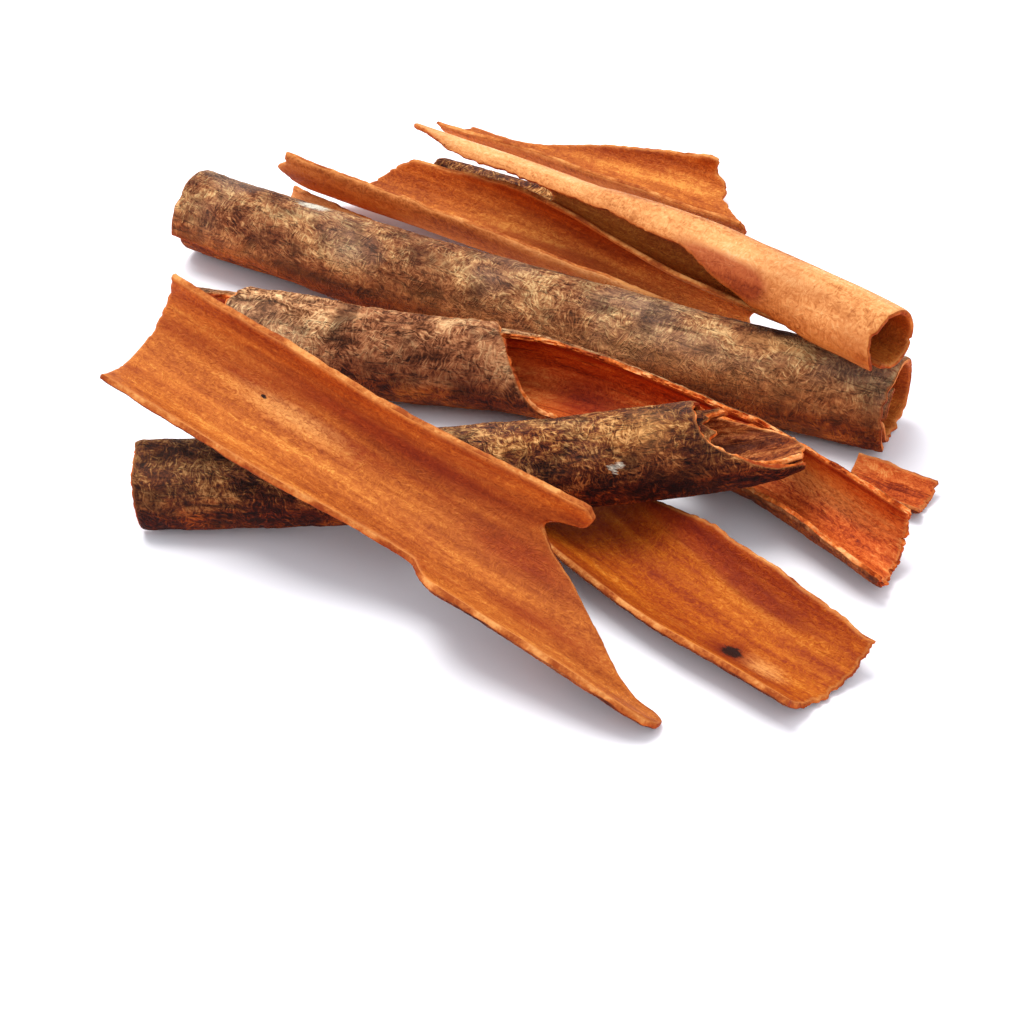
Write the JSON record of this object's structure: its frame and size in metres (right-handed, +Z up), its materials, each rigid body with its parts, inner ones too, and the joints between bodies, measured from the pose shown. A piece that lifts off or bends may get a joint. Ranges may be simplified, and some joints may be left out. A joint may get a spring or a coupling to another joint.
{
  "type": "stack of cinnamon sticks",
  "caption": "Loose heap of thick cinnamon bark: rolled quills, a split quill, and curled troughs and strips lying across each other as they fell.",
  "frame": {"origin": "on the table, under the middle of the heap's box", "axes": "+Z up, +Y away from the side that the picture was taken from, +X to its right"},
  "size_m": [0.1845, 0.2306, 0.0478],
  "materials": {
    "big_quill": "rough mottled outer bark, matt",
    "split_quill": "rough dark outer bark, deep red-brown inside",
    "dark_quill": "rough dark outer bark, torn right end",
    "front_strip": "smooth inner bark with a long grain, matt",
    "right_strip": "smooth inner bark with a long grain, matt",
    "back_trough": "peeled bark, matt",
    "top_strip": "peeled bark, matt",
    "rear_trough": "peeled bark, matt",
    "under_quill": "rough grey-brown outer bark",
    "low_strip": "peeled bark, matt",
    "right_chip": "dark inner bark, matt"
  },
  "bodies": {
    "root": {"big_quill": "big_quill", "split_quill": "split_quill", "dark_quill": "dark_quill", "front_strip": "front_strip", "right_strip": "right_strip", "back_trough": "back_trough", "top_strip": "top_strip", "rear_trough": "rear_trough", "under_quill": "under_quill", "low_strip": "low_strip", "right_chip": "right_chip"}
  },
  "joints": []
}
